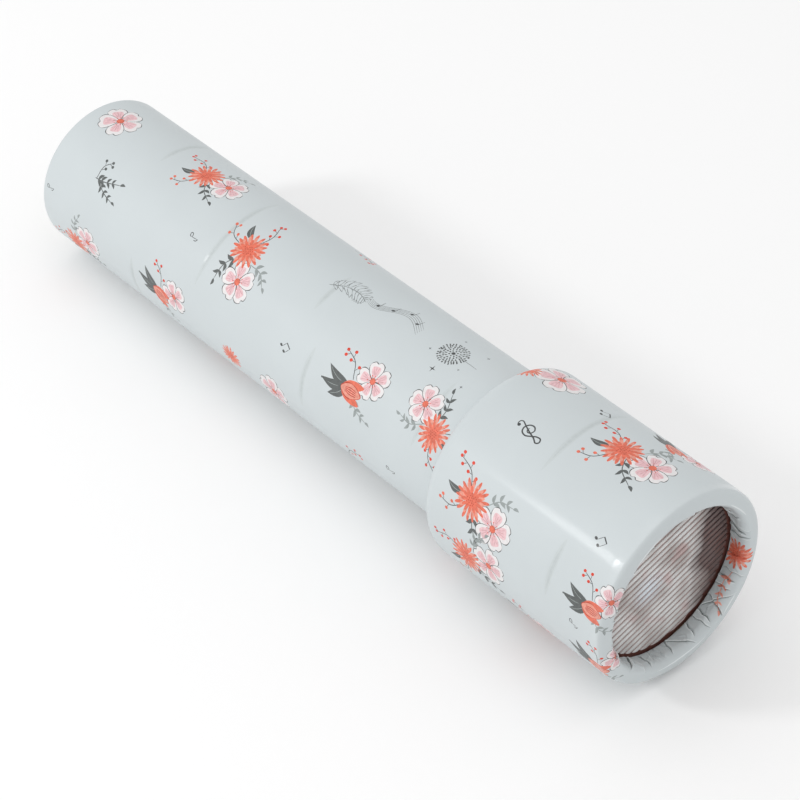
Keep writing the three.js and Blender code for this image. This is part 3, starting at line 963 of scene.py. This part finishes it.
def build_cap_paper():
    crest, recess = 21.7, 20.9
    depth, lip_depth = 1.45, 2.4
    rear_lip = TUBE_R + 0.4
    section = arc(rear_lip, CAP_REAR + REAR_RIM_DEPTH, CAP_R - rear_lip, REAR_RIM_DEPTH, -90, 0)
    # The cylinder eases in very slightly just before the front edge rounds over.
    ease, ease_drop = 4.0, 0.13
    front = [
        (CAP_R - ease_drop * t * t, CAP_FRONT - depth - ease * (1 - t))
        for t in np.linspace(0, 1, 9)
    ]
    front += arc(crest, CAP_FRONT - depth, CAP_R - ease_drop - crest, depth, 2, 90)
    front += arc(crest, CAP_FRONT - lip_depth, crest - LIP_RADIUS, lip_depth, 90, 180)[1:]
    front.append((recess, WINDOW_HIGH.x + 0.25))
    rear_length = Section(section, 0).u[-1]
    section += front
    shoulder = CAP_REAR + REAR_RIM_DEPTH - CAP_FRONT
    wrap = Section(section, shoulder - rear_length)
    front_start = -depth
    end = wrap.u[-1]
    fine_from = front_start + 1.2

    rows = spaced(wrap.u[0], shoulder, 0.6)[:-1]
    middle = spaced(shoulder, front_start - ease, ROW_STEP)
    rows += dent_rows(CAP_DENTS, middle, shoulder, front_start - ease)
    rows += spaced(front_start - ease, front_start, 0.5)[1:]
    rows += spaced(front_start, fine_from, 0.5)[1:-1]
    rows += spaced(fine_from, end - 0.4, 0.28) + [end]
    creases = rim_creases()
    pleats = Pleats(LIP_RADIUS)

    def relief(u, angle):
        lift = dent_relief(CAP_DENTS, CAP_DENT_DEPTH, u, angle)
        lift = lift + lap_relief(angle, CAP_SEAM, CAP_LAP_STEP)
        lift = lift * np.clip((front_start - u) / FADE, 0, 1) * np.clip((u - shoulder) / FADE, 0, 1)
        folds = creases.height(u, angle, LIP_RADIUS) + pleats.height(u, angle)
        before_end = np.clip((end - u) * 3, 0, 1)
        lift = lift + folds * before_end
        ripple = 0.05 * np.sin(angle * 23 + 1.3 * np.sin(angle * 5)) * np.sin(angle * 3 + 1)
        return lift + ripple * np.clip((u - 1.5) / FADE, 0, 1) * before_end

    def columns_of(u):
        return FINE_COLUMNS if fine_from < u < end - 0.2 else COLUMNS

    back_rows = [wrap.u[0] + 0.3, shoulder, front_start, front_start + 3, 1.75, 4.0, end - 0.3]
    paper = wrapped("cap_printed_paper", cap_print(), wrap, rows, columns_of, relief, back_rows)
    return placed(paper, "cap", "printed_paper", "cap_paper_cover")


# ---------- materials ----------

class Surface:
    """A procedural material, and short ways to add nodes to it. Places are object coordinates."""

    def __init__(self, name, settings):
        self.material = bpy.data.materials.new(name)
        self.material.use_nodes = True
        self.nodes, self.links = self.material.node_tree.nodes, self.material.node_tree.links
        self.shader = self.nodes["Principled BSDF"].inputs
        for socket, value in settings.items():
            self.shader[socket].default_value = value

    def feed(self, socket, value):
        """Links another node's output to the socket, or sets a plain value on it."""
        if isinstance(value, bpy.types.NodeSocket):
            self.links.new(value, socket)
        else:
            socket.default_value = value

    def node(self, kind, values=()):
        node = self.nodes.new("ShaderNode" + kind)
        for socket, value in dict(values).items():
            self.feed(node.inputs[socket], value)
        return node

    def place(self):
        return self.node("TexCoord").outputs["Object"]

    def apart(self, axis):
        return self.node("SeparateXYZ", {"Vector": self.place()}).outputs[axis]

    def attribute(self, name, output):
        node = self.node("Attribute")
        node.attribute_name = name
        return node.outputs[output]

    def math(self, operation, *values):
        node = self.node("Math", enumerate(values))
        node.operation = operation
        return node.outputs["Value"]

    def noise(self, scale, detail=3.0, place=None):
        values = {"Scale": scale, "Detail": detail, "Vector": place or self.place()}
        return self.node("TexNoise", values).outputs["Fac"]

    def ranged(self, value, low, high, to_low, to_high):
        names = ("Value", "From Min", "From Max", "To Min", "To Max")
        return self.node(
            "MapRange", zip(names, (value, low, high, to_low, to_high))
        ).outputs["Result"]

    def mixed(self, factor, first, second):
        """A mix of two colours, each a number triple or another node's colour."""
        node = self.node("Mix", {"Factor": factor})
        node.data_type = "RGBA"
        for socket, colour in ((node.inputs[6], first), (node.inputs[7], second)):
            self.feed(socket, (*colour, 1) if isinstance(colour, tuple) else colour)
        return node.outputs[2]

    def finished(self, colour, relief, strength, depth):
        """The colour and the fine relief, in millimetres, on the shader."""
        values = {"Height": relief, "Strength": strength, "Distance": depth * MM}
        self.feed(self.shader["Base Color"], colour)
        self.feed(self.shader["Normal"], self.node("Bump", values).outputs["Normal"])
        return self.material


BURNISHED_AT = 2.0  # behind the front of the cap


def printed_paper():
    surface = Surface("printed_paper", {
        "Roughness": 0.5, "Specular IOR Level": 0.35, "Coat Weight": 0.1, "Coat Roughness": 0.12,
    })
    # The varnish is burnished where the paper is pulled tight over the cap's front edge.
    along = surface.math("SUBTRACT", surface.apart("X"), (CAP_FRONT - BURNISHED_AT) * MM)
    away = surface.math("ABSOLUTE", along)
    surface.feed(surface.shader["Coat Weight"], surface.ranged(away, 0.5 * MM, 1.8 * MM, 0.7, 0.1))

    # The sheet's own tone drifts a little, and the inks lie unevenly on it.
    drift = surface.ranged(surface.noise(60), 0.0, 1.0, 0.965, 1.03)
    uneven = surface.ranged(surface.noise(1400, 4), 0.3, 0.7, -0.22, 0.18)
    strength = surface.math("MULTIPLY", uneven, surface.attribute("print", "Alpha"))
    shade = surface.node("VectorMath")
    shade.operation = "SCALE"
    surface.feed(shade.inputs[0], surface.attribute("print", "Color"))
    surface.feed(shade.inputs["Scale"], surface.math("ADD", drift, strength))
    return surface.finished(shade.outputs["Vector"], surface.noise(900, 5), 0.12, 0.04)


def mottled(name, low, high, scale, grain_scale, grain, settings, stretch=(1, 1, 1)):
    """A colour that drifts between two tints, with a fine grain in it and pressed into it."""
    surface = Surface(name, settings)
    place = surface.node("Mapping", {"Vector": surface.place(), "Scale": stretch}).outputs["Vector"]
    drift = surface.ranged(surface.noise(scale, place=place), 0.3, 0.7, 0.0, 1.0)
    fine = surface.noise(grain_scale, 5.0, place)
    tint = surface.mixed(drift, rgb(*low), rgb(*high))
    flecks = surface.ranged(fine, 0.58, 0.78, 0.0, 0.4)
    dark = tuple(0.6 * c for c in rgb(*low))
    return surface.finished(surface.mixed(flecks, tint, dark), fine, grain, 0.08)


def bead_plastic(name, low, high):
    settings = {"Roughness": 0.16, "Coat Weight": 0.5, "Coat Roughness": 0.08, "IOR": 1.5}
    return mottled(name, low, high, 260, 1800, 0.02, settings)


def ribbed_plastic():
    """Milky ribbed plastic, painted as if the beads showed blurred through it, with painted shade
    where the dim chamber lies behind.
    """
    surface = Surface("frosted_plastic", {
        "Roughness": 0.3, "Transmission Weight": 0.12, "IOR": 1.49,
    })
    shadow = edge_shadow(surface)

    cloud = surface.ranged(surface.noise(110, 1.0), 0.36, 0.6, 0.0, 1.0)
    milky = surface.mixed(cloud, rgb(186, 181, 178), rgb(228, 229, 228))
    flush = surface.ranged(surface.noise(150, 1.0), 0.56, 0.68, 0.0, 0.55)
    milky = surface.mixed(flush, milky, rgb(205, 168, 166))
    milky = surface.mixed(bright_patch(surface, -4.2, -1.6, 5.5), milky, rgb(228, 238, 246))
    # Painted shade: the ridges darken towards one side of the window.
    milky = surface.mixed(shadow, milky, rgb(100, 76, 72))

    # The grooves are painted darker than the ridges: painted shade, where one looks into the dim
    # chamber.
    groove = surface.mixed(surface.noise(160, 1.0), rgb(142, 114, 109), rgb(184, 154, 149))
    # Painted shade: the grooves darken towards the same side.
    groove = surface.mixed(shadow, groove, rgb(52, 30, 28))
    # 1 on the ridges, 0 in the grooves and -1 on the flat border round them.
    rib = surface.attribute("rib", "Fac")
    border = surface.ranged(rib, -1.0, 0.0, 1.0, 0.0)
    # Painted shade: the flat border round the ribs is dark brown, for the shadowed gap at the
    # window's edge.
    groove = surface.mixed(border, groove, rgb(128, 82, 75))
    return surface.finished(surface.mixed(rib, groove, milky), surface.noise(900), 0.2, 0.05)


def bright_patch(surface, y, z, size):
    """Brightest at a spot given from the axis in millimetres, fading out over its size."""
    spot = Vector((WINDOW_HIGH.x, y, AXIS_Z + z)) * MM
    distance = surface.node("VectorMath")
    distance.operation = "DISTANCE"
    surface.feed(distance.inputs[0], surface.place())
    surface.feed(distance.inputs[1], spot)
    return surface.ranged(distance.outputs["Value"], 0.2 * size * MM, size * MM, 0.85, 0.0)


def edge_shadow(surface):
    """Painted shade on one side of the window, for the chamber's dark wall and its shadow seen
    through it.
    """
    waver = surface.math("MULTIPLY_ADD", surface.noise(110, 2.0), 14 * MM, surface.apart("Y"))
    return surface.ranged(waver, 16.0 * MM, 21.0 * MM, 0.0, 0.95)


# ---------- turned and moulded pieces ----------

def solid(name, points, polygons, sharp=38.0):
    """A closed solid from points in millimetres."""
    mesh = bpy.data.meshes.new(name)
    mesh.from_pydata([tuple(p) for p in np.asarray(points) * MM], [], polygons)
    form = bmesh.new()
    form.from_mesh(mesh)
    bmesh.ops.recalc_face_normals(form, faces=form.faces)
    form.to_mesh(mesh)
    form.free()
    mesh.shade_smooth()
    mesh.set_sharp_from_angle(angle=math.radians(sharp))
    return linked(name, mesh)


def rounded(outline, radius, steps=4):
    """A closed outline with its corners rounded."""
    outline = np.asarray(outline, float)
    result = []
    for i, corner in enumerate(outline):
        sides = []
        for other in (outline[i - 1], outline[(i + 1) % len(outline)]):
            away = other - corner
            length = np.linalg.norm(away)
            sides.append(corner + away / length * min(radius, 0.45 * length))
        for t in np.linspace(0, 1, steps + 1):
            result.append((1 - t) ** 2 * sides[0] + 2 * t * (1 - t) * corner + t ** 2 * sides[1])
    return np.array(result)


def turned_mesh(profile, steps):
    """Points and quads of a ring turned about x from a closed [radius, x] outline."""
    turns = np.linspace(0, 2 * math.pi, steps, endpoint=False)
    points = [(x, r * math.cos(a), r * math.sin(a)) for a in turns for r, x in profile]
    return np.array(points), turned_quads(steps, len(profile))


def turned_quads(steps, count):
    """Quads of a closed outline of so many points, carried round in steps."""
    rings = [np.arange(steps) * count + i for i in range(count)]
    return ring_quads(rings + rings[:1])


def build_ring(name, node, inner, body, slot, bevel=0.3):
    """A card ring in the place of a CAD ring, smooth and with softened edges."""
    low, high = [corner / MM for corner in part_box(node)]
    outer = (high.z - low.z) / 2
    profile = rounded([(inner, low.x), (outer, low.x), (outer, high.x), (inner, high.x)], bevel)
    points, polygons = turned_mesh(profile, 128)
    ring = solid(name, points + (0, 0, AXIS_Z), polygons)
    return placed(ring, body, slot, node)


def placed(obj, body, slot, *nodes):
    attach(obj, body)
    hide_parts(*nodes)
    obj.data.materials.append(MATERIALS[slot])
    return obj


RIB_PITCH = 1.7
RIB_HEIGHT = 0.5
RIB_TILT = math.radians(19)
# Across one rib: place in pitches, height as a part of the full height, and how milky it is.
RIB_SECTION = [
    (-0.5, 0.3, 0.0), (-0.38, 0.3, 0.0), (-0.33, 0.6, 0.55), (-0.28, 0.86, 1.0), (-0.14, 0.97, 1.0),
    (0.0, 1.0, 1.0), (0.14, 0.97, 1.0), (0.28, 0.86, 1.0), (0.33, 0.6, 0.55), (0.38, 0.3, 0.0),
]


def tilted(x, s, w):
    """A point s along the ribs and w across them."""
    y = s * math.cos(RIB_TILT) - w * math.sin(RIB_TILT)
    z = s * math.sin(RIB_TILT) + w * math.cos(RIB_TILT)
    return x, y, z + AXIS_Z


def build_window():
    radius = (WINDOW_HIGH.z - WINDOW_LOW.z) / 2
    rib_end, rib_foot = 20.0, 20.2
    rows = []
    for i in range(-15, 16):
        for across, height, milky in RIB_SECTION:
            w = (i + across) * RIB_PITCH
            if abs(w) < radius - 0.15:
                rows.append((w, height, milky))
    spread = np.linspace(-1, 1, 33)
    front, back, shades = [], [], []
    floor_x = WINDOW_HIGH.x - RIB_HEIGHT
    for w, height, milky in rows:
        full = math.sqrt(radius ** 2 - w ** 2)
        end = max(0.05, math.sqrt(max(0, rib_end ** 2 - w ** 2)))
        foot = max(end + 0.05, math.sqrt(max(0, rib_foot ** 2 - w ** 2)))
        along = [-full, -foot, *(spread * end), foot, full]
        for s in along:
            inside = math.hypot(s, w) <= rib_end + 0.01
            front.append(tilted(floor_x + (RIB_HEIGHT * height if inside else 0), s, w))
            shades.append(milky if inside else -1.0)
        back += [tilted(WINDOW_LOW.x, s, w) for s in (-full, full)]
    width, base, total = len(along), len(front), len(front) + len(back)
    polygons = []
    for r in range(len(rows) - 1):
        i, b = r * width, base + 2 * r
        polygons += [(k, k + 1, k + width + 1, k + width) for k in range(i, i + width - 1)]
        polygons += [
            (b, b + 1, b + 3, b + 2), (i, i + width, b + 2, b),
            (i + width - 1, i + 2 * width - 1, b + 3, b + 1),
        ]
    polygons.append([*range(width), base + 1, base])
    polygons.append([*range(base - width, base), total - 1, total - 2])
    window = solid("ribbed_window", front + back, polygons)
    attribute = window.data.attributes.new("rib", "FLOAT", "POINT")
    attribute.data.foreach_set("value", np.array(shades + [0.0] * len(back), np.float32))
    return placed(window, "cap", "frosted_plastic", "ribbed_front_window")


def bead_frame(node):
    """A bead's middle, its own axis and two directions across it, and its reach along each."""
    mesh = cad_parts[node].data
    points = np.array([tuple(v.co) for v in mesh.vertices]) / MM
    middle = (points.min(0) + points.max(0)) / 2
    away = points - middle
    spreads, axes = np.linalg.eigh(away.T @ away)
    axis = axes[:, 2] if spreads[2] - spreads[1] > spreads[1] - spreads[0] else axes[:, 0]
    radial = away - np.outer(away @ axis, axis)
    reach = np.linalg.norm(radial, axis=1)
    first = radial[np.argmax(reach)] / reach.max()
    return (
        middle, np.array((axis, first, np.cross(axis, first))),
        np.abs(away @ axis).max(), reach.max(),
    )


def bead_mesh(kind, half, radius):
    """A small plastic bead lying along x, with a thread hole through it."""
    hole = 0.16 * radius
    if kind == "ball":
        turns = np.radians(np.linspace(-78, 78, 19))
        outer = [(radius * math.cos(a), half * math.sin(a)) for a in turns]
        ends = [(hole, outer[-1][1]), (hole, outer[0][1])]
        return turned_mesh(outer + ends, 32)
    if kind == "barrel":
        turns = np.linspace(-1, 1, 13)
        outer = [(radius * (1 - 0.16 * t * t), half * t) for t in turns]
        profile = rounded(outer + [(hole, half), (hole, -half)], 0.14 * radius, 3)
        return turned_mesh(profile, 32)
    if kind == "gem":
        outer = [(0.5 * radius, -half), (0.97 * radius, -0.12 * half), (0.97 * radius, 0.12 * half),
                 (0.5 * radius, half)]
        return turned_mesh(outer + [(hole, half), (hole, -half)], 8)
    points = []
    steps = 60
    layers = [(0.84, -1.0), (0.95, -0.8), (1.0, -0.3), (1.0, 0.3), (0.95, 0.8), (0.84, 1.0),
              (0.2, 1.0), (0.2, -1.0)]
    for k in range(steps):
        a = 2 * math.pi * k / steps
        star = radius * (0.72 + 0.26 * math.cos(5 * a) + 0.02 * math.cos(10 * a))
        for scale, x in layers:
            r = hole if scale == 0.2 else star * scale
            points.append((x * half, r * math.cos(a), r * math.sin(a)))
    return np.array(points), turned_quads(steps, len(layers))


def build_beads():
    for node in sorted(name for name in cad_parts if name.startswith("bead_")):
        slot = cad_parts[node].data.materials[0].name
        kind = node.split("_")[1]
        middle, axes, half, radius = bead_frame(node)
        points, polygons = bead_mesh(kind, 0.97 * half, 0.97 * radius)
        bead = solid(
            "loose_" + node, points @ axes + middle, polygons, 25.0 if kind == "gem" else 50.0,
        )
        placed(bead, "beads", slot, node)


# ---------- stage ----------

def build_floor():
    """The floor touches the cap's rear shoulder and the eye end, as the toy really rests."""
    shoulder = Vector((CAP_REAR + REAR_RIM_DEPTH, 0, AXIS_Z - CAP_R))
    eye = Vector((EYE_END, 0, AXIS_Z - TUBE_R))
    slope = (eye - shoulder).normalized()
    half = 3000
    middle = (shoulder + eye) / 2 - Vector((0, 0, 0.05))
    corners = []
    for sx, sy in ((1, -1), (1, 1), (-1, 1), (-1, -1)):
        corners.append(tuple((middle - slope * sx * half + Vector((0, sy * half, 0))) * MM))
    mesh = bpy.data.meshes.new("floor")
    mesh.from_pydata(corners, [], [(0, 1, 2, 3)])
    floor = linked("floor", mesh)
    surface = Surface("floor_white", {
        "Base Color": (0.96, 0.96, 0.96, 1), "Roughness": 0.8, "Specular IOR Level": 0.1,
    })
    mesh.materials.append(surface.material)


def area_light(name, place, aim, size, power):
    data = bpy.data.lights.new(name, "AREA")
    data.shape = "RECTANGLE"
    data.size = data.size_y = size
    data.energy = power
    light = linked(name, data)
    light.location = place
    light.rotation_euler = (Vector(place) - Vector(aim)).to_track_quat("Z", "Y").to_euler()


def build_lights():
    world = bpy.data.worlds.new("studio")
    bpy.context.scene.world = world
    world.use_nodes = True
    background = world.node_tree.nodes["Background"]
    background.inputs["Color"].default_value = (1, 1, 1, 1)
    background.inputs["Strength"].default_value = 0.78
    area_light("key_left", (-0.476, -0.864, 0.62), (0.05, 0, 0.02), 0.16, 2.8)
    area_light("top", (0.1, -0.2, 1.2), (0, 0, 0.02), 1.2, 2.6)
    area_light("fill", (-0.1, -0.7, 0.1), (-0.02, 0, 0.02), 0.6, 0.45)
    bpy.context.scene.view_settings.view_transform = "Standard"


# ---------- build ----------

add_camera()
CARD = {"Roughness": 0.85, "Specular IOR Level": 0.25}
CLEAR = {"Transmission Weight": 1.0, "Roughness": 0.06, "IOR": 1.46}
FILM = {"Metallic": 1.0, "Roughness": 0.08}
MATERIALS = {"printed_paper": printed_paper(), "frosted_plastic": ribbed_plastic()}
for finish in (
    ("card", (164, 140, 108), (188, 166, 132), 220, 2600, 0.5, CARD, (0.3, 1, 1)),
    ("white_card", (217, 217, 213), (224, 224, 220), 160, 2600, 0.4, CARD),
    ("dark_card", (66, 50, 47), (84, 66, 62), 200, 2400, 0.4, CARD),
    ("clear_plastic", (226, 234, 238), (240, 245, 247), 90, 500, 0.04, CLEAR),
    ("mirror_film", (214, 220, 224), (232, 236, 238), 60, 260, 0.05, FILM, (0.2, 1, 1)),
    ("packing", (126, 128, 131), (152, 154, 157), 500, 1500, 0.9, CARD),
    ("paper_tape", (206, 190, 146), (222, 208, 168), 160, 1900, 0.3, CARD),
):
    MATERIALS[finish[0]] = mottled(*finish)
for finish in (
    ("bead_white", (232, 234, 236), (246, 247, 248)),
    ("bead_sky", (154, 188, 226), (182, 208, 240)),
    ("bead_pink", (230, 168, 184), (244, 196, 208)),
    ("bead_blue", (112, 152, 212), (142, 178, 228)),
    ("bead_cream", (234, 230, 216), (246, 243, 232)),
    ("bead_rose", (214, 118, 144), (232, 148, 168)),
):
    MATERIALS[finish[0]] = bead_plastic(*finish)

build_tube_paper()
build_cap_paper()
build_window()
build_ring("eye_disc", "eye_end_disc", EYE_HOLE, "tube", "white_card", 0.35)
build_ring("chamber_wall", "chamber_spacer_ring", SPACER_BORE, "cap", "dark_card", 0.2)
build_beads()
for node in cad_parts.values():
    if not node.hide_render:
        slot = node.data.materials[0].name
        node.data.materials.clear()
        node.data.materials.append(MATERIALS[slot])
build_floor()
build_lights()
